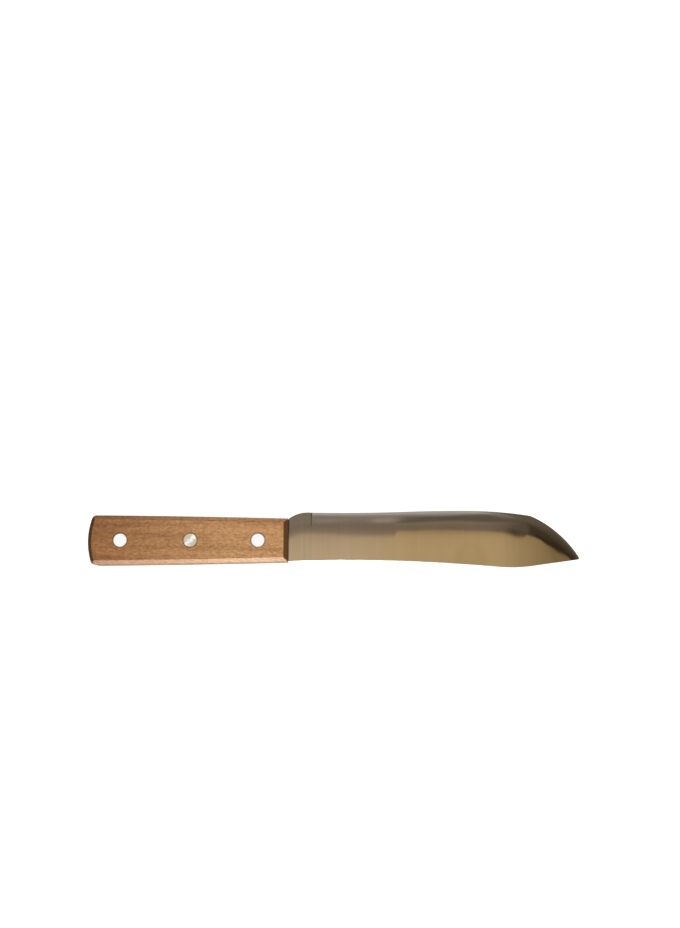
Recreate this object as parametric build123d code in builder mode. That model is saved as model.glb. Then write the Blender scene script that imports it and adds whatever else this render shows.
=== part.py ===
from build123d import *
import os
from math import cos, radians, sin, tan

# Full-tang knife with two wooden scales and three two-piece rivets, lying flat.
#
# Frame, in millimetres: X runs along the knife with the tip at +X, the cutting edge
# faces +Y, the spine -Y, and Z is the thickness. The origin is the bottom centre of
# the knife's bounding box. Outlines are drawn on the plane "knife", whose own origin
# is where the handle's centreline meets the front of the scales, at mid thickness.

# Overall sizes
blade_length = 178.6            # front of the scales to the tip, before its corner rounds
handle_length = 121.4           # front of the scales to the butt
stock_thickness = 1.5           # steel at the tang
tip_thickness = 1.0             # steel at the tip, after the distal taper
scale_thickness = 8.5           # wood on each side of the tang

# Handle outline
front_half_height = 13.1        # handle's half height at the front
butt_half_height = 15.05        # handle's half height at the butt, before its corners round
side_bow = 0.25                 # how far the long sides bow out
butt_bow = 2.7                  # how far the butt end bows out
butt_corner_radius = 2.8

# Wooden scales
scale_chamfer = 2.6             # 45 degree chamfer round the outer face
scale_rounding = 0.6            # sanded radius on both edges of that chamfer

# Cutting edge: heights above the handle's centreline, and distances from the scales
# or back from the tip
shoulder_height = 13.4          # where the blade's shoulder leaves the scales
heel_from_scales = 12.1         # where the curved shoulder meets the cutting edge
heel_height = 17.4
recurve_from_scales = 70.6      # where the slight hollow behind the crown begins
recurve_height = 17.85
crown_from_tip = 70.5           # highest point of the cutting edge
crown_height = 18.5
belly_from_tip = 32.0           # where the edge starts to turn towards the tip
belly_height = 15.7
turn_from_tip = 27.5            # where that turn eases into the long sweep to the tip
turn_height = 14.3

# Spine: depths below the handle's centreline, and distances as for the edge
spine_depth = 12.8              # where the spine leaves the scales
waist_from_scales = 36.6        # highest point of the spine
waist_depth = 12.05
hump_from_tip = 42.0            # lowest point of the spine
hump_depth = 16.3
fall_share = 0.92               # share of waist to hump that curves down before it levels out
clip_radius = 95.0              # bend from the hump into the straight clip
clip_angle = 8.1                # slope of the clip, in degrees
tip_radius = 1.0

# Ground edge
plunge_from_scales = 14.0       # where the grind starts
grind_width = 7.0               # cutting edge to the grind line, at full stock
edge_bevel_width = 0.6          # honed strip along the edge
edge_bevel_thickness = 0.28     # steel left where the honed strip starts
edge_land = 0.04                # steel left at the very edge

# Rivets: a pin pressed into a socket, whose bore is the pin's size; both have flush heads
front_rivet_inset = 18.0        # front rivet to the front of the scales
butt_rivet_inset = 20.0         # butt rivet to the butt
middle_rivet_lead = 0.7         # middle rivet forward of halfway between the other two
rivet_drop = 0.35               # rivets below the handle's centreline
rivet_head_diameter = 8.0
rivet_head_thickness = 2.0
rivet_rim_chamfer = 0.15
socket_diameter = 5.0
pin_diameter = 3.6
pin_end_gap = 0.8               # pin's end to the bottom of the socket
socket_end_gap = 1.0            # socket's mouth to the underside of the pin's head
pin_point_chamfer = 0.4
head_clearance = 0.05           # radial, head in its counterbore
scale_hole_clearance = 0.05     # radial, socket in the scale
tang_hole_clearance = 0.2       # radial, socket in the tang

# Working margin of the cutting bodies
clear = 5.0

# Frame of the outlines
overall_thickness = stock_thickness + 2 * scale_thickness
overall_depth = max(hump_depth, butt_half_height)
knife_x = (handle_length - blade_length) / 2
knife_y = (overall_depth - crown_height) / 2
knife = Plane((knife_x, knife_y, overall_thickness / 2))

# Levels above the knife's mid plane
tang_face = stock_thickness / 2
scale_face = overall_thickness / 2
head_seat = scale_face - rivet_head_thickness

# Points of the blade's outline
front_top = (0, front_half_height)
front_bottom = (0, -front_half_height)
shoulder = (0, shoulder_height)
heel = (heel_from_scales, heel_height)
recurve = (recurve_from_scales, recurve_height)
crown = (blade_length - crown_from_tip, crown_height)
belly = (blade_length - belly_from_tip, belly_height)
turn = (blade_length - turn_from_tip, turn_height)
spine_start = (0, -spine_depth)
waist = (waist_from_scales, -waist_depth)
hump = (blade_length - hump_from_tip, -hump_depth)
level_x = waist[0] + fall_share * (hump[0] - waist[0])
level_y = waist[1] + fall_share * (hump[1] - waist[1])
clip_x = hump[0] + clip_radius * sin(radians(clip_angle))
clip_y = hump[1] + clip_radius * (1 - cos(radians(clip_angle)))
tip = (blade_length, clip_y + (blade_length - clip_x) * tan(radians(clip_angle)))

# Rivet centres
front_rivet_x = -front_rivet_inset
butt_rivet_x = butt_rivet_inset - handle_length
middle_rivet_x = (front_rivet_x + butt_rivet_x) / 2 + middle_rivet_lead
rivet_centres = {
    "front": Vector(front_rivet_x, -rivet_drop),
    "middle": Vector(middle_rivet_x, -rivet_drop),
    "butt": Vector(butt_rivet_x, -rivet_drop),
}


# ---- Outlines -------------------------------------------------------------------

def handle_outline():
    """The outline that the tang and both scales share."""
    corner_x = butt_bow - handle_length
    side_x = corner_x / 2
    side_y = (front_half_height + butt_half_height) / 2 + side_bow
    with BuildSketch() as outline:
        with BuildLine():
            ThreePointArc(front_bottom, (side_x, -side_y), (corner_x, -butt_half_height))
            ThreePointArc((corner_x, -butt_half_height), (-handle_length, 0), (corner_x, butt_half_height))
            ThreePointArc((corner_x, butt_half_height), (side_x, side_y), front_top)
            Line(front_top, front_bottom)
        make_face()
        fillet(outline.vertices().group_by(Axis.X)[0], butt_corner_radius)
    return outline.sketch


def edge_back():
    """The edge from its crown back to the heel, and the shoulder up to the scales."""
    with BuildLine() as line:
        fall = TangentArc(crown, recurve, tangent=(-1, 0))
        hollow = TangentArc(recurve, heel, tangent=fall % 1)
        TangentArc(heel, shoulder, tangent=hollow % 1)
    return line.line


def edge_front():
    """The edge from its crown forward to the tip."""
    with BuildLine() as line:
        along = TangentArc(crown, belly, tangent=(1, 0))
        round_turn = TangentArc(belly, turn, tangent=along % 1)
        TangentArc(turn, tip, tangent=round_turn % 1)
    return line.line


def spine():
    """The spine from the scales over the waist and the hump, then the straight clip."""
    with BuildLine() as line:
        TangentArc(waist, spine_start, tangent=(-1, 0))
        fall = TangentArc(waist, (level_x, level_y), tangent=(1, 0))
        TangentArc((level_x, level_y), hump, tangent=fall % 1)
        JernArc(hump, (1, 0), clip_radius, clip_angle)
        Line((clip_x, clip_y), tip)
    return line.line


def blade_outline():
    """The outline of the bare blade, in front of the scales."""
    with BuildSketch() as outline:
        with BuildLine():
            add(edge_back())
            add(edge_front())
            add(spine())
            Line(shoulder, spine_start)
        make_face()
        fillet(outline.vertices().sort_by(Axis.X)[-1], tip_radius)
    return outline.sketch


# ---- Blade with its full tang -----------------------------------------------------

def grind_section():
    """Steel removed above one side of the edge: honed strip, then the main bevel."""
    across = Plane(crown, x_dir=(0, -1, 0), z_dir=(1, 0, 0))
    with BuildSketch(across) as section:
        with BuildLine():
            Polyline(
                (-clear, edge_land / 2),
                (0, edge_land / 2),
                (edge_bevel_width, edge_bevel_thickness / 2),
                (grind_width, tang_face),
                (grind_width, tang_face + clear),
                (-clear, tang_face + clear),
                close=True,
            )
        make_face()
    return section.sketch


def grind_cutter():
    """What grinding takes off both sides: the section swept each way from the crown."""
    to_tip = edge_front()
    with BuildLine() as ahead:
        add(to_tip)
        Line(to_tip @ 1, to_tip @ 1 + to_tip % 1 * clear)
    with BuildPart() as cutter:
        sweep(grind_section(), path=edge_back().edges()[0:2])
        sweep(grind_section(), path=ahead.line)
        split(bisect_by=Plane.YZ.offset(plunge_from_scales), keep=Keep.TOP)
        mirror(about=Plane.XY)
    return cutter.part


with BuildPart() as blade:
    with BuildSketch(knife):
        add(handle_outline())
        add(blade_outline())
        with Locations(*rivet_centres.values()):
            Circle(socket_diameter / 2 + tang_hole_clearance, mode=Mode.SUBTRACT)
    extrude(amount=tang_face, both=True)
    # Distal taper: the side view that the steel keeps
    with BuildSketch(Plane(knife.origin, x_dir=(1, 0, 0), z_dir=(0, -1, 0))):
        with BuildLine():
            Polyline(
                (-handle_length - clear, tang_face),
                (0, tang_face),
                (blade_length, tip_thickness / 2),
                (blade_length, -tip_thickness / 2),
                (0, -tang_face),
                (-handle_length - clear, -tang_face),
                close=True,
            )
        make_face()
    extrude(amount=blade_length, both=True, mode=Mode.INTERSECT)
    with Locations(knife.location):
        add(grind_cutter(), mode=Mode.SUBTRACT)

blade.part.label = "blade"


# ---- Handle scales ----------------------------------------------------------------

with BuildPart() as handle_scale_left:
    with BuildSketch(knife.offset(tang_face)):
        add(handle_outline())
    extrude(amount=scale_thickness)
    chamfer(handle_scale_left.faces().sort_by(Axis.Z)[-1].edges(), scale_chamfer)
    chamfer_foot = overall_thickness - scale_chamfer
    sanded_edges = handle_scale_left.edges().filter_by_position(Axis.Z, chamfer_foot, overall_thickness)
    fillet(sanded_edges, scale_rounding)
    with Locations(knife.offset(scale_face)):
        with Locations(*rivet_centres.values()):
            CounterBoreHole(
                radius=socket_diameter / 2 + scale_hole_clearance,
                counter_bore_radius=rivet_head_diameter / 2 + head_clearance,
                counter_bore_depth=rivet_head_thickness,
                depth=scale_thickness,
            )

with BuildPart() as handle_scale_right:
    mirror(handle_scale_left.part, about=knife)

handle_scale_left.part.label = "handle_scale_left"
handle_scale_right.part.label = "handle_scale_right"


# ---- Rivets -------------------------------------------------------------------------

def rivet_head(seat):
    """A flush round head standing on its seat plane, with its rim broken."""
    with BuildPart() as head:
        with BuildSketch(seat):
            Circle(rivet_head_diameter / 2)
        extrude(amount=rivet_head_thickness)
        rim = head.edges().filter_by(GeomType.CIRCLE).sort_by_distance(seat.origin)[-1]
        chamfer(rim, rivet_rim_chamfer)
    return head.part


grip = 2 * head_seat                # between the two heads of a rivet
socket_length = grip - socket_end_gap
pin_length = grip - pin_end_gap
rivets = []

for place, centre in rivet_centres.items():
    middle = knife.from_local_coords(centre)
    pin_seat = Plane(middle, z_dir=(0, 0, 1)).offset(head_seat)
    socket_seat = Plane(middle, z_dir=(0, 0, -1)).offset(head_seat)

    with BuildPart() as pin:
        add(rivet_head(pin_seat))
        with BuildSketch(pin_seat):
            Circle(pin_diameter / 2)
        extrude(amount=-pin_length)
        chamfer(pin.edges().sort_by(Axis.Z)[0], pin_point_chamfer)
    pin.part.label = place + "_rivet_pin"

    with BuildPart() as socket:
        add(rivet_head(socket_seat))
        with BuildSketch(socket_seat):
            Circle(socket_diameter / 2)
            Circle(pin_diameter / 2, mode=Mode.SUBTRACT)
        extrude(amount=-socket_length)
    socket.part.label = place + "_rivet_socket"

    rivets += [pin.part, socket.part]


# ---- Files --------------------------------------------------------------------------

os.makedirs("parts", exist_ok=True)
for piece in [blade.part, handle_scale_left.part, handle_scale_right.part, *rivets]:
    export_step(piece, "parts/" + piece.label + ".step")
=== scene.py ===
"""Looks of the uncapping knife: blade, wooden scales, rivets, studio."""
import math

import bmesh
import bpy
import numpy as np
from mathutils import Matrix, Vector
from mathutils.geometry import convex_hull_2d


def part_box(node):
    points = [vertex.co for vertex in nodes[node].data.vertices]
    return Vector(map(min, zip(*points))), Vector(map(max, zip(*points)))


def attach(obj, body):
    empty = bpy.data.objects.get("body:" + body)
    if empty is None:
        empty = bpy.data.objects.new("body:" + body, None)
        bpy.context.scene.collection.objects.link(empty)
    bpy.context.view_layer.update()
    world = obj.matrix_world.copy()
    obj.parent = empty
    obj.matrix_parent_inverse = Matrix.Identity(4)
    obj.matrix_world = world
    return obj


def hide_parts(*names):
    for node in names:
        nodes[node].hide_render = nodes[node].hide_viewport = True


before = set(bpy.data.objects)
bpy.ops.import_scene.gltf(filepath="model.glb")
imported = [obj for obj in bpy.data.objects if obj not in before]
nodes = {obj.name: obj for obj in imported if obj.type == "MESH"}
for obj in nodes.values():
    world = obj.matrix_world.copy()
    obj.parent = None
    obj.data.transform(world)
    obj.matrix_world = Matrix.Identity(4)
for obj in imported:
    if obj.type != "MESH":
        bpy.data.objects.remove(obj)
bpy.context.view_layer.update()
MM = 0.001

# ---- The knife's own frame: front of the scales, handle's centreline, mid plane ----

blade_low, blade_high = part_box("blade")
left_low, left_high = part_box("handle_scale_left")
FRONT_X = left_high.x
CENTRE_Y = (left_low.y + left_high.y) / 2
MID_Z = (blade_low.z + blade_high.z) / 2

# Blade outline in millimetres, the same sizes as the CAD model
BLADE_LENGTH = 178.6
STOCK_HALF = 0.75
TIP_HALF = 0.5
SHOULDER = (0.0, 13.4)
HEEL = (12.1, 17.4)
RECURVE = (70.6, 17.85)
CROWN = (108.1, 18.5)
BELLY = (146.6, 15.7)
TURN = (151.1, 14.3)
SPINE_START = (0.0, -12.8)
WAIST = (36.6, -12.05)
HUMP = (136.6, -16.3)
FALL_SHARE = 0.92
CLIP_RADIUS = 95.0
CLIP_ANGLE = math.radians(8.1)
PLUNGE_X = 14.0

# Section of the ground edge in millimetres, measured inwards from the edge
EDGE_LAND = 0.02                # half the thickness at the very edge
EDGE_STRIP = 1.7                # convex honed strip
EDGE_STRIP_HALF = 0.33          # half thickness where the strip ends
BEVEL_WIDTH = 7.0               # to the grind line at the heel
ROLL_WIDTH = 11.6               # polished roll-off behind the grind line
ROLL_DROP = 0.06                # how far the roll-off falls by the grind line
TIP_DROP = 1.6                  # times as far at the tip
# Extra width of the roll-off along the blade, where the polishing wheel lingered. The
# knots were set so that the border of the bright flat runs as in the photograph.
SWELL_X = (0.0, 20.0, 40.0, 64.3, 66.7, 118.0, 130.0, 143.0, 153.0, 160.0, 165.0, 171.0, 178.6)
SWELL_WIDTH = (2.2, 2.6, 4.2, 5.0, 0.6, 1.2, 1.6, 4.5, 1.4, 0.5, 1.2, 3.5, 6.0)
RICASSO_SLOPE = 0.034           # how fast the ricasso thins towards the edge
STRIP_BULGE = 0.25              # convexity of the honed strip, as a share of its height
BULGE = 0.14                    # convexity of the bevel
TIP_SHARE = 0.72                # share of the blade's length where the tip's shape starts
TIP_NARROWING = 0.85            # share of those widths left at the tip
TIP_BLUNT_X = 177.2             # from here the point is worn short
TIP_BLUNT = 0.75
BACK_X = -0.8                   # the blade's mesh starts under the scales
BACK_HEIGHT = 13.0
BACK_STEP = 0.01                # its outline steps in this far behind their front
PLUNGE_LENGTH = 0.5             # length of the plunge wall
GROOVE_DEPTH = 0.08             # scratch that the wheel's corner leaves at its foot
GROOVE_WIDTH = 0.3
GROOVE_FADE_IN = 0.3            # share over which it starts
GROOVE_END = 2.4                # share where it ends
GROOVE_FADE_OUT = 0.4
SPINE_ROUND = 0.3               # rounding of the spine's corners

# Mesh density
ROWS_EDGE, ROWS_BEVEL, ROWS_ROLL, ROWS_FLAT = 6, 12, 8, 10
ROUNDING_ANGLES = np.radians([0, 22.5, 45, 67.5, 90])
COLUMNS = 460
RICASSO_COLUMNS = 40
WALL_COLUMNS = 16               # of them over the plunge wall
WALL_RUN = 1.2 * PLUNGE_LENGTH
SHARP_ANGLE = math.radians(35)

# Unevenness of hand polishing: seed, size and length of its waves
BEVEL_WAVES = (5, 0.07, 34.0)
SURFACE_WAVES = (3, 0.006, 22.0)

RIVETS = ["front", "middle", "butt"]
RIVET_RADIUS = 4.0 * MM
TANG_HOLE_RADIUS = 2.7 * MM
# Direction of each rivet's sanding lines in radians, and how strongly its head is painted with
# highlight and shade
RIVET_LOOKS = {"front": (0.8, 0.0), "middle": (-0.75, 0.85), "butt": (-0.5, 0.0)}


def unit(v):
    """The vector at length 1."""
    return v / np.linalg.norm(v)


def tangent_arc(start, end, direction, steps=160):
    """Points of the arc that leaves start along direction and ends at end, and its last direction."""
    start, end = np.array(start, float), np.array(end, float)
    direction = unit(np.array(direction, float))
    chord = end - start
    side = np.array([-direction[1], direction[0]])
    if abs(side @ chord) < 1e-9:
        return start + np.linspace(0, 1, steps)[:, None] * chord, direction
    radius = chord @ chord / (2 * (side @ chord))
    centre = start + radius * side
    turn = 2 * math.atan2(side @ chord, direction @ chord)
    angles = np.linspace(0, turn, steps)
    spoke = start - centre
    cos, sin = np.cos(angles), np.sin(angles)
    points = centre + np.stack([cos * spoke[0] - sin * spoke[1], sin * spoke[0] + cos * spoke[1]], 1)
    c, s = math.cos(turn), math.sin(turn)
    return points, np.array([c * direction[0] - s * direction[1], s * direction[0] + c * direction[1]])


def clip_corner():
    """Where the bend behind the hump ends and the straight clip begins."""
    return np.array([
        HUMP[0] + CLIP_RADIUS * math.sin(CLIP_ANGLE),
        HUMP[1] + CLIP_RADIUS * (1 - math.cos(CLIP_ANGLE)),
    ])


def edge_line():
    """The cutting edge from the scales to the tip."""
    corner = clip_corner()
    tip = (BLADE_LENGTH, corner[1] + (BLADE_LENGTH - corner[0]) * math.tan(CLIP_ANGLE))
    fall, towards = tangent_arc(CROWN, RECURVE, (-1, 0))
    hollow, towards = tangent_arc(RECURVE, HEEL, towards)
    shoulder, _ = tangent_arc(HEEL, SHOULDER, towards)
    along, towards = tangent_arc(CROWN, BELLY, (1, 0))
    turn, towards = tangent_arc(BELLY, TURN, towards)
    sweep, _ = tangent_arc(TURN, tip, towards)
    back = [shoulder[::-1], hollow[-2::-1], fall[-2::-1]]
    return np.concatenate([*back, along[1:], turn[1:], sweep[1:]])


def spine_line():
    """The spine from the scales to the tip."""
    corner = clip_corner()
    tip = (BLADE_LENGTH, corner[1] + (BLADE_LENGTH - corner[0]) * math.tan(CLIP_ANGLE))
    level = np.array(WAIST) + FALL_SHARE * (np.array(HUMP) - np.array(WAIST))
    start, _ = tangent_arc(WAIST, SPINE_START, (-1, 0))
    fall, towards = tangent_arc(WAIST, level, (1, 0))
    flat, _ = tangent_arc(level, HUMP, towards)
    bend, _ = tangent_arc(HUMP, corner, (1, 0))
    clip = np.array([corner, tip])
    return np.concatenate([start[::-1], fall[1:], flat[1:], bend[1:], clip[1:]])


edge = edge_line()
spine = spine_line()


def spine_y(x):
    """Height of the spine at x."""
    return np.interp(x, spine[:, 0], spine[:, 1])


def along_blade(x):
    """0 at the scales, 1 at the tip."""
    return np.clip(np.asarray(x) / BLADE_LENGTH, 0, 1)


def half_stock(x):
    """Half thickness of the tapered steel before grinding."""
    return STOCK_HALF + (TIP_HALF - STOCK_HALF) * along_blade(x)


def towards_tip(x):
    """0 up to TIP_SHARE of the length, 1 at the tip."""
    return np.clip((along_blade(x) - TIP_SHARE) / (1 - TIP_SHARE), 0, 1)


def narrowing(x):
    """How much of their width the ground bands keep, full at the heel."""
    return 1 + (TIP_NARROWING - 1) * towards_tip(x)


def smooth(t):
    """Eases from 0 to 1."""
    t = np.clip(t, 0, 1)
    return t * t * (3 - 2 * t)


def ground_half(x, share):
    """Half thickness over the ground bands.

    A share is 0 at the edge and 1, 2 and 3 where the strip, bevel and roll-off end.
    """
    grind_line = half_stock(x) - ROLL_DROP * (1 + (TIP_DROP - 1) * towards_tip(x))
    strip = EDGE_STRIP_HALF * half_stock(x) / STOCK_HALF
    t = np.clip(share, 0, 1)
    convex = (1 + STRIP_BULGE) * t - STRIP_BULGE * t * t
    in_strip = EDGE_LAND + (strip - EDGE_LAND) * convex
    t = np.clip(share - 1, 0, 1)
    bulge = BULGE + waviness(x, 0 * x, *BEVEL_WAVES)
    in_bevel = strip + (grind_line - strip) * t + bulge * t * (1 - t)
    t = np.clip(share - 2, 0, 1)
    in_roll = grind_line + (half_stock(x) - grind_line) * (2 * t - t * t)
    return np.where(share < 1, in_strip, np.where(share < 2, in_bevel, in_roll))


def band_shares():
    """Rows over the three bands, closer together at their joins."""
    strip = np.linspace(0, 1, ROWS_EDGE)
    bevel = 1 + smooth(np.linspace(0, 1, ROWS_BEVEL))
    roll = 2 + np.linspace(0, 1, ROWS_ROLL)
    return np.concatenate([strip, bevel[1:], roll[1:]])


def swell(x):
    """Extra width of the roll-off, eased between its knots."""
    place = np.interp(x, SWELL_X, np.arange(len(SWELL_X)))
    whole = np.floor(place)
    return np.interp(whole + smooth(place - whole), np.arange(len(SWELL_X)), SWELL_WIDTH)


def inset(x, share):
    """Distance in from the edge of a band row."""
    knots = [0, EDGE_STRIP, BEVEL_WIDTH, ROLL_WIDTH]
    widths = np.interp(share, [0, 1, 2, 3], knots) * narrowing(x)
    return widths + np.clip(share - 2, 0, 1) * swell(x)


# ---- Blade mesh -----------------------------------------------------------------------

def offset_row(share):
    """The band row at that share, from the plunge line to the spine or the clip."""
    step = np.gradient(edge, axis=0)
    step /= np.linalg.norm(step, axis=1)[:, None]
    inward = np.stack([step[:, 1], -step[:, 0]], 1)
    row = edge + inset(edge[:, 0], share)[:, None] * inward

    # End the row where it crosses the spine
    below = np.nonzero(row[:, 1] < spine_y(row[:, 0]) - 1e-6)[0]
    below = below[below > len(row) // 2]
    if len(below):
        last = below[0]
        gap = row[last - 1:last + 1, 1] - spine_y(row[last - 1:last + 1, 0])
        t = gap[0] / (gap[0] - gap[1])
        crossing = row[last - 1] + t * (row[last] - row[last - 1])
        row = np.concatenate([row[:last], [crossing]])
    start = np.nonzero(row[:, 0] > PLUNGE_X)[0][0]
    y = np.interp(PLUNGE_X, row[start - 1:start + 1, 0], row[start - 1:start + 1, 1])
    return np.concatenate([[[PLUNGE_X, y]], row[start:]])


def resample(row, count):
    """The row at fixed columns: dense over the plunge wall, then even to its end."""
    run = np.concatenate([[0], np.cumsum(np.linalg.norm(np.diff(row, axis=0), axis=1))])
    wall = np.linspace(0, WALL_RUN, WALL_COLUMNS)
    rest = np.linspace(WALL_RUN, run[-1], count - WALL_COLUMNS + 1)[1:]
    places = np.concatenate([wall, rest])
    return np.stack([np.interp(places, run, row[:, 0]), np.interp(places, run, row[:, 1])], 1)


def waviness(x, y, seed, size, length):
    """A gentle unevenness left by hand polishing: a few sine waves of random direction."""
    draw = np.random.default_rng(seed)
    total = np.zeros_like(x)
    for _ in range(7):
        wave = length * draw.uniform(0.7, 1.6)
        heading = draw.uniform(-0.6, 0.6)
        phase = draw.uniform(0, 2 * math.pi)
        way = x * math.cos(heading) + y * math.sin(heading)
        total += np.sin(2 * math.pi * way / wave + phase)
    return size * total / 7


def blade_grid():
    """x, y and half thickness of the blade's surface, as columns by rows, in millimetres."""
    shares = band_shares()
    bands = np.stack([resample(offset_row(s), COLUMNS) for s in shares], 1)
    x, y = bands[..., 0], bands[..., 1]
    share = np.broadcast_to(shares, x.shape)

    # Ricasso: the same rows carried back to the scales, parallel to its outline
    back_x = np.linspace(0, PLUNGE_X, RICASSO_COLUMNS)[:-1]
    back_x = np.concatenate([[BACK_X, -BACK_STEP], back_x])
    edge_order = np.argsort(edge[:, 0])
    back_edge = np.interp(back_x, edge[edge_order, 0], edge[edge_order, 1], left=BACK_HEIGHT)
    back_y = back_edge[:, None] - (y[0, 0] - y[0])[None, :]
    x = np.concatenate([np.broadcast_to(back_x[:, None], back_y.shape), x])
    y = np.concatenate([back_y, y])
    share = np.concatenate([np.broadcast_to(shares, back_y.shape), share])

    ground = ground_half(x, share)
    depth = inset(x, 2) - np.minimum(inset(x, share), inset(x, 2))
    ricasso = ground_half(x, np.full_like(x, 2.0)) - RICASSO_SLOPE * depth
    unground = np.where(share < 2, ricasso, ground)
    started = smooth((x - PLUNGE_X) / PLUNGE_LENGTH)
    half = unground + (ground - unground) * np.where(share < 2, started, 1)
    in_bands = np.clip(3 - share, 0, 1) * np.clip(share, 0, 1)
    half += waviness(x, y, *SURFACE_WAVES) * started * in_bands
    groove = GROOVE_DEPTH * np.exp(-(((x - PLUNGE_X - GROOVE_WIDTH) / GROOVE_WIDTH) ** 2))
    fading = smooth((GROOVE_END - share) / GROOVE_FADE_OUT) * smooth(share / GROOVE_FADE_IN)
    half -= groove * fading

    # Flat: from the last band row straight across to the spine, whose corner is rounded
    foot_x, foot_y = x[:, -1], y[:, -1]
    height = np.maximum(foot_y - spine_y(foot_x), 0)
    rounding = np.minimum(SPINE_ROUND, 0.3 * height)
    for t in np.linspace(0, 1, ROWS_FLAT)[1:]:
        down = t * np.maximum(height - 1.3 * rounding, 0)
        x = np.column_stack([x, foot_x])
        y = np.column_stack([y, foot_y - down])
        half = np.column_stack([half, half_stock(foot_x)])
    for angle in ROUNDING_ANGLES:
        x = np.column_stack([x, foot_x])
        y = np.column_stack([y, foot_y - height + rounding * (1 - math.sin(angle))])
        half = np.column_stack([half, half_stock(foot_x) - rounding * (1 - math.cos(angle))])

    # The point is worn a little short
    past = np.maximum(x - TIP_BLUNT_X, 0)
    x = np.minimum(x, TIP_BLUNT_X) + TIP_BLUNT * np.tanh(past / TIP_BLUNT)
    return x, y, half


def new_object(name, mesh):
    """An object in the scene that holds a mesh or a lamp."""
    thing = bpy.data.objects.new(name, mesh)
    bpy.context.scene.collection.objects.link(thing)
    return thing


def grid_object(name, x, y, half):
    """A closed solid between the surface and its mirror image below the mid plane."""
    columns, rows = x.shape
    place = np.stack([x * MM + FRONT_X, y * MM + CENTRE_Y, half * MM + MID_Z], -1).reshape(-1, 3)
    mirrored = place * [1, 1, -1] + [0, 0, 2 * MID_Z]
    count = len(place)
    index = np.arange(count).reshape(columns, rows)
    a, b, c, d = index[:-1, :-1], index[1:, :-1], index[1:, 1:], index[:-1, 1:]
    top = np.stack([a, d, c, b], -1).reshape(-1, 4)
    faces = [*top.tolist(), *(top[:, ::-1] + count).tolist()]
    rim = [*index[:, 0], *index[-1, 1:], *index[-2::-1, -1]]
    for first, second in zip(rim[:-1], rim[1:]):
        faces.append([int(first), int(second), int(second) + count, int(first) + count])
    start = index[0].tolist()
    faces.append(start + [i + count for i in reversed(start)])
    mesh = bpy.data.meshes.new(name)
    mesh.from_pydata(np.concatenate([place, mirrored]).tolist(), [], faces)
    work = bmesh.new()
    work.from_mesh(mesh)
    bmesh.ops.remove_doubles(work, verts=work.verts, dist=1e-7)
    bmesh.ops.dissolve_degenerate(work, edges=work.edges, dist=1e-7)
    bmesh.ops.recalc_face_normals(work, faces=work.faces)
    work.to_mesh(mesh)
    work.free()
    return new_object(name, mesh)


def ring(centre, radius, steps=48):
    """Points around a circle."""
    angles = np.linspace(0, 2 * math.pi, steps, endpoint=False)
    return [(centre[0] + radius * math.cos(a), centre[1] + radius * math.sin(a)) for a in angles]


def tang_object():
    """The full tang: the outline of the scales' inner face, with a hole for each rivet."""
    scale = [v.co for v in nodes["handle_scale_left"].data.vertices]
    inner = {(place.x, place.y) for place in scale if place.z < left_low.z + 1e-6}
    inner = [Vector(p) for p in sorted(inner)]
    outline = [inner[i] for i in convex_hull_2d(inner)]
    loops = [outline]
    for place in RIVETS:
        low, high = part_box(place + "_rivet_socket")
        loops.append(ring(((low + high) / 2), TANG_HOLE_RADIUS))
    front = FRONT_X + BACK_X / 2 * MM
    top = MID_Z + STOCK_HALF * MM
    work = bmesh.new()
    for loop in loops:
        corners = [work.verts.new((min(p[0], front), p[1], top)) for p in loop]
        for first, second in zip(corners, corners[1:] + corners[:1]):
            work.edges.new((first, second))
    bmesh.ops.triangle_fill(work, edges=work.edges, use_beauty=True)
    made = bmesh.ops.extrude_face_region(work, geom=work.faces[:])
    lower = [g for g in made["geom"] if isinstance(g, bmesh.types.BMVert)]
    bmesh.ops.translate(work, verts=lower, vec=(0, 0, -2 * STOCK_HALF * MM))
    bmesh.ops.recalc_face_normals(work, faces=work.faces)
    mesh = bpy.data.meshes.new("tang")
    work.to_mesh(mesh)
    work.free()
    return new_object("tang", mesh)


def forged_blade():
    """Blade and full tang joined into one solid."""
    blade = grid_object("steel_blade", *blade_grid())
    tang = tang_object()
    joint = blade.modifiers.new("joint", "BOOLEAN")
    joint.operation = "UNION"
    joint.solver = "EXACT"
    joint.object = tang
    shown = blade.evaluated_get(bpy.context.evaluated_depsgraph_get())
    mesh = bpy.data.meshes.new_from_object(shown)
    blade.modifiers.clear()
    blade.data = mesh
    bpy.data.objects.remove(tang)
    mesh.polygons.foreach_set("use_smooth", [True] * len(mesh.polygons))
    mesh.set_sharp_from_angle(angle=SHARP_ANGLE)
    return blade


# ---- Materials ------------------------------------------------------------------------

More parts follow.
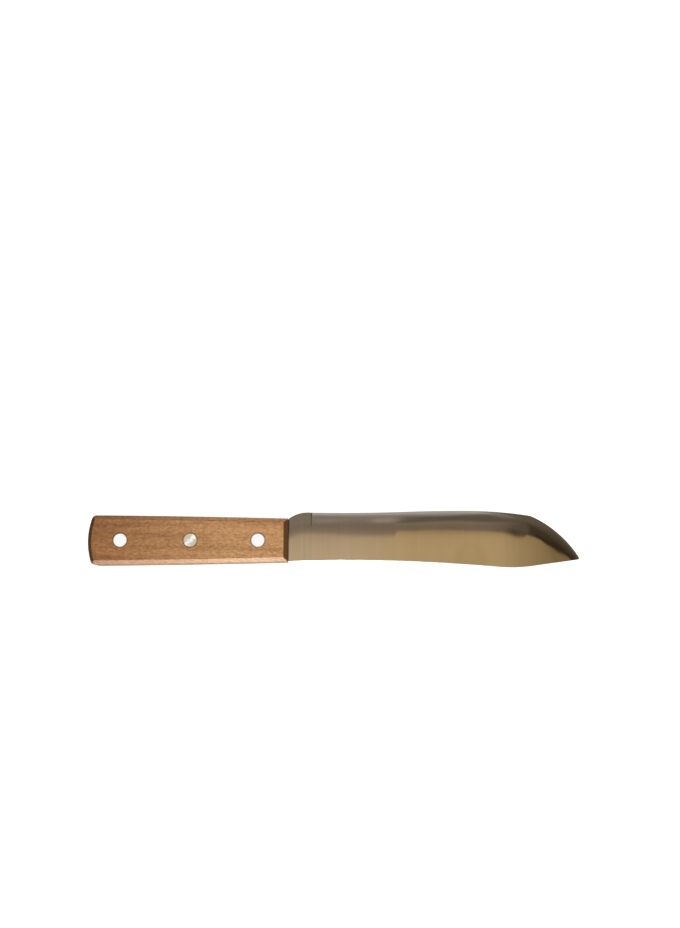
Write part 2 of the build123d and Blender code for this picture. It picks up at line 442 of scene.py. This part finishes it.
class Shader:
    """A small helper that builds one material's or world's node tree."""

    def __init__(self, tree):
        self.tree = tree
        self.tree.nodes.clear()

    def node(self, kind, inputs=None, **settings):
        made = self.tree.nodes.new("ShaderNode" + kind)
        for key, value in settings.items():
            setattr(made, key, value)
        for key, value in (inputs or {}).items():
            if isinstance(value, bpy.types.NodeSocket):
                self.tree.links.new(value, made.inputs[key])
            else:
                made.inputs[key].default_value = value
        return made

    def math(self, operation, *values, clamp=False):
        made = self.node("Math", dict(enumerate(values)), operation=operation, use_clamp=clamp)
        return made.outputs[0]

    def noise(self, vector, scale, detail=3.0, roughness=0.5):
        inputs = {"Vector": vector, "Scale": scale, "Detail": detail, "Roughness": roughness}
        return self.node("TexNoise", inputs).outputs["Fac"]

    def stretched(self, scale, turn=0.0):
        """Object coordinates in metres, turned about Z, then scaled on each axis."""
        place = self.node("TexCoord").outputs["Object"]
        size = tuple(1 / s for s in scale)
        inputs = {"Vector": place, "Scale": size, "Rotation": (0, 0, turn)}
        return self.node("Mapping", inputs, vector_type="TEXTURE").outputs[0]

    def spread(self, value, low, high, new_low=0.0, new_high=1.0):
        inputs = {0: value, 1: low, 2: high, 3: new_low, 4: new_high}
        return self.node("MapRange", inputs, clamp=True).outputs[0]

    def mix(self, factor, first, second, blend="MIX"):
        made = self.node("Mix", data_type="RGBA", blend_type=blend)
        for index, value in ((0, factor), (6, first), (7, second)):
            if isinstance(value, bpy.types.NodeSocket):
                self.tree.links.new(value, made.inputs[index])
            else:
                made.inputs[index].default_value = value
        return made.outputs[2]

    def ramp(self, factor, stops, interpolation="LINEAR"):
        made = self.node("ValToRGB", {"Fac": factor})
        band = made.color_ramp
        band.interpolation = interpolation
        while len(band.elements) < len(stops):
            band.elements.new(0.5)
        for element, (place, colour) in zip(band.elements, stops):
            element.position = place
            element.color = (*colour, 1)
        return made.outputs["Color"]


def linear(*srgb):
    """A colour given as 0-255 sRGB, in linear light."""
    return tuple(c / 255 / 12.92 if c <= 10 else ((c / 255 + 0.055) / 1.055) ** 2.4 for c in srgb)


def new_material(name):
    """An empty material and the helper that fills it."""
    material = bpy.data.materials.new(name)
    material.use_nodes = True
    return material, Shader(material.node_tree)


DROP_CENTRE = (83 * MM, -12.8 * MM, 0)
DROP_RADIUS = 9.5 * MM


def steel_material():
    """Polished steel: fine grinding lines across the blade and faint handling scratches."""
    material, sh = new_material("polished_steel")
    across = sh.noise(sh.stretched((2600, 45, 45)), 1.0, 4.0, 0.6)
    broad = sh.noise(sh.stretched((220, 16, 16)), 1.0, 3.0, 0.5)
    scratch = sh.noise(sh.stretched((90, 3200, 90), 0.35), 1.0, 2.0, 0.5)
    smudge = sh.noise(sh.stretched((28, 40, 40)), 1.0, 4.0, 0.55)
    height = sh.math("ADD", across, sh.math("MULTIPLY", scratch, 0.35))
    bump = sh.node("Bump", {"Height": height, "Strength": 0.2, "Distance": 1.2e-6})
    dim, bright = (0.76, 0.745, 0.72, 1), (0.785, 0.77, 0.745, 1)
    tint = sh.mix(sh.spread(broad, 0.35, 0.65), dim, bright)
    point = sh.node("TexCoord").outputs["Object"]
    place = sh.node("SeparateXYZ", {0: point}).outputs

    # Coarser wheel lines near the heel
    wheel = sh.spread(sh.noise(sh.stretched((620, 25, 25)), 1.0, 2.0, 0.6), 0.35, 0.65)
    coarse = sh.spread(place[0], FRONT_X + 8 * MM, FRONT_X + 55 * MM, 0.10, 0.0)
    tint = sh.mix(sh.math("MULTIPLY", wheel, coarse), tint, (0.52, 0.49, 0.46, 1))

    # The faint stain of a dried drop, a little darker round its rim
    flat = sh.node("VectorMath", {0: point, 1: (1, 1, 0)}, operation="MULTIPLY").outputs[0]
    away = sh.node("VectorMath", {0: flat, 1: DROP_CENTRE}, operation="DISTANCE").outputs["Value"]
    from_rim = sh.math("ABSOLUTE", sh.math("SUBTRACT", away, DROP_RADIUS))
    rim = sh.spread(from_rim, 0.0, 3 * MM, 0.12, 0.0)
    stain = sh.math("ADD", rim, sh.spread(away, DROP_RADIUS - 2 * MM, DROP_RADIUS, 0.14, 0.0))
    stain = sh.math("MULTIPLY", stain, sh.spread(smudge, 0.35, 0.6, 0.5, 1))
    tint = sh.mix(stain, tint, (0.50, 0.45, 0.33, 1))

    # Satin at the heel, nearly a mirror further on
    worn = sh.spread(place[0], FRONT_X, FRONT_X + 75 * MM, 0.07, 0.022)
    polish = sh.math("ADD", worn, sh.spread(across, 0.3, 0.7, 0.0, 0.02))
    polish = sh.math("ADD", polish, sh.spread(smudge, 0.45, 0.7, 0.0, 0.02))
    inputs = {"Base Color": tint, "Metallic": 1.0, "Roughness": polish, "Normal": bump.outputs[0]}
    surface = sh.node("BsdfPrincipled", inputs)
    sh.node("OutputMaterial", {"Surface": surface.outputs[0]})
    return material


def wood_material():
    """Oiled beech: long grain along the handle, short ray flecks, dark end grain, and painted shade in
    a ring round each rivet.
    """
    material, sh = new_material("oiled_beech")
    bands = sh.noise(sh.stretched((9, 260, 200)), 1.0, 3.0, 0.55)
    fibres = sh.noise(sh.stretched((55, 1900, 1900)), 1.0, 3.0, 0.6)
    mottle = sh.noise(sh.stretched((520, 900, 900)), 1.0, 2.5, 0.6)
    patches = sh.noise(sh.stretched((30, 75, 75)), 1.0, 3.0, 0.5)
    flecks = sh.noise(sh.stretched((420, 2600, 2600)), 1.0, 1.5, 0.4)
    point = sh.node("TexCoord").outputs["Object"]
    place = sh.node("SeparateXYZ", {0: point}).outputs

    # Darker towards the butt
    forward = sh.spread(place[0], left_low.x + 4 * MM, FRONT_X - 38 * MM)
    tone = sh.mix(forward, (0.270, 0.111, 0.032, 1), (0.449, 0.227, 0.088, 1))
    shade = sh.spread(bands, 0.3, 0.7, 0.82, 1.17)
    shade = sh.math("MULTIPLY", shade, sh.spread(fibres, 0.3, 0.7, 0.90, 1.08))
    shade = sh.math("MULTIPLY", shade, sh.spread(mottle, 0.3, 0.7, 0.70, 1.30))
    shade = sh.math("MULTIPLY", shade, sh.spread(flecks, 0.58, 0.74, 1.02, 0.66))
    tone = sh.mix(1.0, tone, shade, "MULTIPLY")
    pale, red = (1.10, 1.12, 1.12, 1), (1.0, 0.90, 0.80, 1)
    tone = sh.mix(sh.spread(patches, 0.4, 0.7, 0, 0.5), tone, pale, "MULTIPLY")
    tone = sh.mix(sh.spread(bands, 0.5, 0.32, 0, 0.6), tone, red, "MULTIPLY")

    facing = sh.node("SeparateXYZ", {0: sh.node("NewGeometry").outputs["Normal"]}).outputs[0]
    end_grain = sh.spread(sh.math("ABSOLUTE", facing), 0.35, 0.65)
    tone = sh.mix(sh.math("MULTIPLY", end_grain, 0.92), tone, (0.075, 0.028, 0.010, 1))

    # Painted shade: a dark ring in the wood round each rivet's seat, where the gap would be in shadow
    flat = sh.node("VectorMath", {0: point, 1: (1, 1, 0)}, operation="MULTIPLY").outputs[0]
    for rivet in RIVETS:
        low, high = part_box(rivet + "_rivet_pin")
        centre = ((low.x + high.x) / 2, (low.y + high.y) / 2, 0)
        away = sh.node("VectorMath", {0: flat, 1: centre}, operation="DISTANCE").outputs["Value"]
        rim = sh.spread(away, RIVET_RADIUS, RIVET_RADIUS + 0.9 * MM, 0.75, 0.0)
        tone = sh.mix(rim, tone, (0.06, 0.035, 0.02, 1))

    height = sh.math("ADD", fibres, sh.math("MULTIPLY", flecks, -0.8))
    bump = sh.node("Bump", {"Height": height, "Strength": 0.5, "Distance": 6e-5})
    rough = sh.math("MULTIPLY", end_grain, 0.3)
    inputs = {
        "Base Color": tone,
        "Roughness": sh.math("ADD", sh.spread(fibres, 0.3, 0.7, 0.26, 0.35), rough),
        "Specular IOR Level": sh.spread(end_grain, 0, 1, 0.5, 0.08),
        "Normal": bump.outputs[0],
    }
    surface = sh.node("BsdfPrincipled", inputs)
    sh.node("OutputMaterial", {"Surface": surface.outputs[0]})
    return material


def rivet_material(rivet, turn, painted_highlight_contrast):
    """Bright aluminium with straight sanding lines.

    Painted highlight and shade: a yellowish painted shade dulls all of the head but a bright streak
    across it, along the sanding lines.
    """
    material, sh = new_material("sanded_aluminium_" + rivet)
    lines = sh.noise(sh.stretched((5200, 260, 260), turn), 1.0, 3.0, 0.6)
    dents = sh.noise(sh.stretched((700, 700, 700)), 1.0, 2.0, 0.5)
    height = sh.math("ADD", lines, sh.math("MULTIPLY", dents, 1.5))
    bump = sh.node("Bump", {"Height": height, "Strength": 0.6, "Distance": 1.2e-5})
    shade = sh.mix(sh.spread(dents, 0.35, 0.7), (0.98, 0.98, 0.98, 1), (0.93, 0.93, 0.92, 1))

    # Painted highlight and shade: outside a wandering streak along the sanding lines the head is
    # painted a shaded yellowish grey
    low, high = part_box(rivet + "_rivet_pin")
    inputs = {
        "Vector": sh.node("TexCoord").outputs["Object"],
        "Location": (low + high) / 2,
        "Scale": (MM, MM, MM),
        "Rotation": (0, 0, turn),
    }
    local = sh.node("Mapping", inputs, vector_type="TEXTURE").outputs[0]
    across = sh.node("SeparateXYZ", {0: local}).outputs[0]
    wander = sh.math("ADD", across, sh.spread(dents, 0.3, 0.7, -1.2, 1.0))
    painted_shade_off_streak = sh.spread(sh.math("ABSOLUTE", wander), 0.5, 1.5, 0.0, painted_highlight_contrast)
    shade = sh.mix(painted_shade_off_streak, shade, (0.52, 0.47, 0.28, 1))
    polish = sh.spread(lines, 0.3, 0.7, 0.45, 0.6)
    normal = bump.outputs[0]
    inputs = {"Base Color": shade, "Metallic": 0.15, "Roughness": polish, "Normal": normal}
    surface = sh.node("BsdfPrincipled", inputs)
    sh.node("OutputMaterial", {"Surface": surface.outputs[0]})
    return material


def floor_material():
    """Pale matt floor that the camera sees brighter than the knife does."""
    material, sh = new_material("pale_floor")
    grain = sh.noise(sh.stretched((900, 900, 900)), 1.0, 2.0, 0.5)
    shade = sh.mix(sh.spread(grain, 0.3, 0.7), (0.58, 0.58, 0.58, 1), (0.62, 0.62, 0.62, 1))
    glow = sh.math("MULTIPLY", sh.node("LightPath").outputs["Is Camera Ray"], 0.75)
    inputs = {
        "Base Color": shade,
        "Roughness": 0.8,
        "Emission Color": (1, 1, 1, 1),
        "Emission Strength": glow,
    }
    surface = sh.node("BsdfPrincipled", inputs)
    sh.node("OutputMaterial", {"Surface": surface.outputs[0]})
    return material


# ---- Pieces -----------------------------------------------------------------------------

steel = steel_material()
wood = wood_material()

blade = forged_blade()
blade.data.materials.clear()
blade.data.materials.append(steel)
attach(blade, "root")
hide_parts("blade")


def dress(node, material):
    """Gives a CAD node its material."""
    thing = nodes[node]
    thing.data.materials.clear()
    thing.data.materials.append(material)


dress("handle_scale_left", wood)
dress("handle_scale_right", wood)
for rivet, (turn, painted_highlight_contrast) in RIVET_LOOKS.items():
    aluminium = rivet_material(rivet, turn, painted_highlight_contrast)
    dress(rivet + "_rivet_pin", aluminium)
    dress(rivet + "_rivet_socket", aluminium)


# ---- Studio -------------------------------------------------------------------------------

FLOOR_SIZE = 8.0
STEEL = (0.772, 0.757, 0.732)   # mean reflectance of the polished steel

# The bright window low on the spine's side: angle from straight up, radiance
WINDOW = [
    (-90, (4.0, 4.0, 3.9)),
    (-68, (3.6, 3.6, 3.5)),
    (-55, (0.6, 0.6, 0.5)),
    (-12, (0.3, 0.25, 0.18)),
]

# What the steel reflects above the window: angle from straight up, colour as it looks in
# steel. The colours were read off the blade in the photograph at the heel, middle and tip,
# thinned to these stops and then adjusted.
OVER_HEEL = [
    (-4, (182, 162, 129)), (4.5, (179, 155, 120)), (5.0, (167, 143, 111)), (5.3, (138, 117, 93)),
    (6.0, (120, 102, 84)), (7.4, (106, 91, 75)), (8.6, (117, 104, 88)), (11, (114, 103, 87)),
    (12.5, (122, 109, 93)), (15.5, (120, 109, 96)), (17, (138, 129, 117)), (24, (156, 148, 138)),
    (40, (170, 166, 160)), (90, (120, 118, 116)),
]
OVER_MIDDLE = [
    (-4, (168, 142, 100)), (3.7, (169, 142, 99)), (4.4, (171, 144, 100)), (5.05, (169, 140, 96)),
    (5.22, (158, 131, 92)), (5.45, (117, 97, 71)), (6.5, (106, 90, 72)), (8.2, (116, 102, 85)),
    (9.5, (100, 88, 71)), (10.7, (89, 77, 61)), (13.2, (91, 80, 67)), (14.8, (134, 124, 114)),
    (20, (158, 149, 140)), (40, (170, 166, 160)), (90, (120, 118, 116)),
]
OVER_TIP = [
    (-4, (122, 100, 64)), (4.9, (121, 98, 62)), (5.2, (90, 72, 48)), (5.45, (48, 38, 23)),
    (6.3, (43, 35, 21)), (8, (64, 53, 38)), (9.5, (74, 62, 46)), (12, (90, 77, 60)),
    (17, (88, 77, 63)), (30, (84, 77, 66)), (50, (60, 56, 52)), (90, (40, 38, 36)),
]

# Dim things in the room, placed so that the steel shows the photograph's patches:
# where (turn, lean), how large, how strong, colour
ROOM_SPOTS = [
    ((2.45, 12.0), (1.1, 3.0), 0.8, (152, 135, 116)),
    ((-0.5, 12.5), (0.8, 1.8), 0.5, (150, 134, 118)),
    ((9.7, 14.5), (1.1, 3.2), 0.6, (120, 104, 86)),
    ((9.75, 5.9), (0.32, 1.0), 0.85, (48, 36, 21)),
]

bpy.ops.mesh.primitive_plane_add(size=FLOOR_SIZE, location=(0, 0, 0))
floor = bpy.context.object
floor.name = "floor"
floor.data.materials.append(floor_material())


def mirrored(*srgb):
    """The radiance that looks like this sRGB colour when the steel reflects it."""
    return tuple(seen / metal for seen, metal in zip(linear(*srgb), STEEL))


def studio_world():
    """White room; a warm panel overhead and the dark room beyond it show in reflections.

    Directions are given in degrees from straight up: lean towards +Y, turn towards +X.
    """
    world = bpy.data.worlds.new("studio")
    bpy.context.scene.world = world
    world.use_nodes = True
    sh = Shader(world.node_tree)
    way = sh.node("SeparateXYZ", {0: sh.node("TexCoord").outputs["Generated"]}).outputs
    lean = sh.math("DEGREES", sh.math("ARCTAN2", way[1], way[2]))
    turn = sh.math("DEGREES", sh.math("ARCTAN2", way[0], way[2]))
    share = sh.spread(lean, -90, 90)

    def wall(stops):
        places = WINDOW + [(angle, mirrored(*colour)) for angle, colour in stops]
        return sh.ramp(share, [((angle + 90) / 180, colour) for angle, colour in places])

    # Steel near the heel, the middle and the tip faces three parts of the room
    late = sh.math("ADD", turn, sh.spread(lean, 5.1, 5.8, 0, 0.3))
    seen = sh.mix(sh.spread(turn, 0.5, 4.5), wall(OVER_HEEL), wall(OVER_MIDDLE))
    seen = sh.mix(sh.spread(late, 8.6, 11.8), seen, wall(OVER_TIP))

    aimed = sh.node("CombineXYZ", {0: turn, 1: lean}).outputs[0]
    for where, size, strength, colour in ROOM_SPOTS:
        inputs = {"Vector": aimed, "Location": (*where, 0), "Scale": (*size, 1)}
        local = sh.node("Mapping", inputs, vector_type="TEXTURE").outputs[0]
        away = sh.node("VectorMath", {0: local}, operation="LENGTH").outputs["Value"]
        seen = sh.mix(sh.spread(away, 0.2, 1.0, strength, 0.0), seen, (*mirrored(*colour), 1))

    # Dark to the left and right, and grey to the right of the window
    aside = sh.spread(sh.math("ABSOLUTE", turn), 30, 50)
    aside = sh.math("MULTIPLY", aside, sh.spread(lean, -60, -30))
    seen = sh.mix(aside, seen, (0.04, 0.035, 0.03, 1))
    past_window = sh.math("MULTIPLY", sh.spread(lean, -45, -60), sh.spread(turn, -5, 20))
    seen = sh.mix(past_window, seen, (0.22, 0.21, 0.19, 1))

    # The window is brightest opposite the handle's front
    low_down = sh.spread(lean, -60, -75)
    near_front = sh.spread(way[0], -0.16, 0.0)
    near_window = sh.math("MULTIPLY", near_front, sh.spread(way[0], 0.0, 0.05, 1, 0))
    strength = sh.math("MULTIPLY_ADD", sh.math("MULTIPLY", low_down, near_window), 6.0, 1.0)
    glossy = sh.node("Background", {"Color": seen, "Strength": strength})

    # Matt surfaces see plain white, brightest overhead, on the spine's side and at the tip
    by_y = sh.spread(way[1], -1, 1, 1.55, 0.32)
    by_x = sh.spread(way[0], -1, 1, 0.55, 1.42)
    by_z = sh.spread(way[2], 0, 1, 0.46, 1.58)
    brightness = sh.math("MULTIPLY", sh.math("MULTIPLY", by_y, by_x), by_z)
    plain = sh.node("Background", {"Color": (1.0, 0.995, 0.985, 1), "Strength": brightness})

    by_ray = sh.node("LightPath").outputs["Is Glossy Ray"]
    both = sh.node("MixShader", {0: by_ray, 1: plain.outputs[0], 2: glossy.outputs[0]})
    sh.node("OutputWorld", {"Surface": both.outputs[0]})


def area_light(name, place, aim, size, power, colour=(1, 1, 1)):
    """A rectangular softbox aimed at a point and hidden from the camera."""
    lamp = bpy.data.lights.new(name, "AREA")
    lamp.shape = "RECTANGLE"
    lamp.size, lamp.size_y = size
    lamp.energy = power
    lamp.color = colour
    thing = new_object(name, lamp)
    thing.location = place
    thing.rotation_euler = (Vector(aim) - Vector(place)).to_track_quat("-Z", "Y").to_euler()
    thing.visible_camera = False
    return thing


studio_world()
area_light("low_softbox", (0.3, -1.5, 0.22), (0, 0, 0.01), (2.6, 0.34), 0.8, (1.0, 0.98, 0.94))

# Camera: 4.8 degrees from straight above, on the spine's side
CAMERA_DISTANCE = 0.65
VIEW_TILT = math.radians(4.82)
AIM_TILT = math.radians(4.06)   # the knife lies this far below the picture's centre
CAMERA_X = 0.00307
FOCAL_MM = 41.0

camera = bpy.data.cameras.new("camera")
camera.lens = FOCAL_MM
camera_object = new_object("camera", camera)
camera_object.location = (
    CAMERA_X,
    -CAMERA_DISTANCE * math.sin(VIEW_TILT),
    CAMERA_DISTANCE * math.cos(VIEW_TILT) + MID_Z,
)
camera_object.rotation_euler = (VIEW_TILT + AIM_TILT, 0, 0)
bpy.context.scene.camera = camera_object
bpy.context.scene.view_settings.view_transform = "Standard"
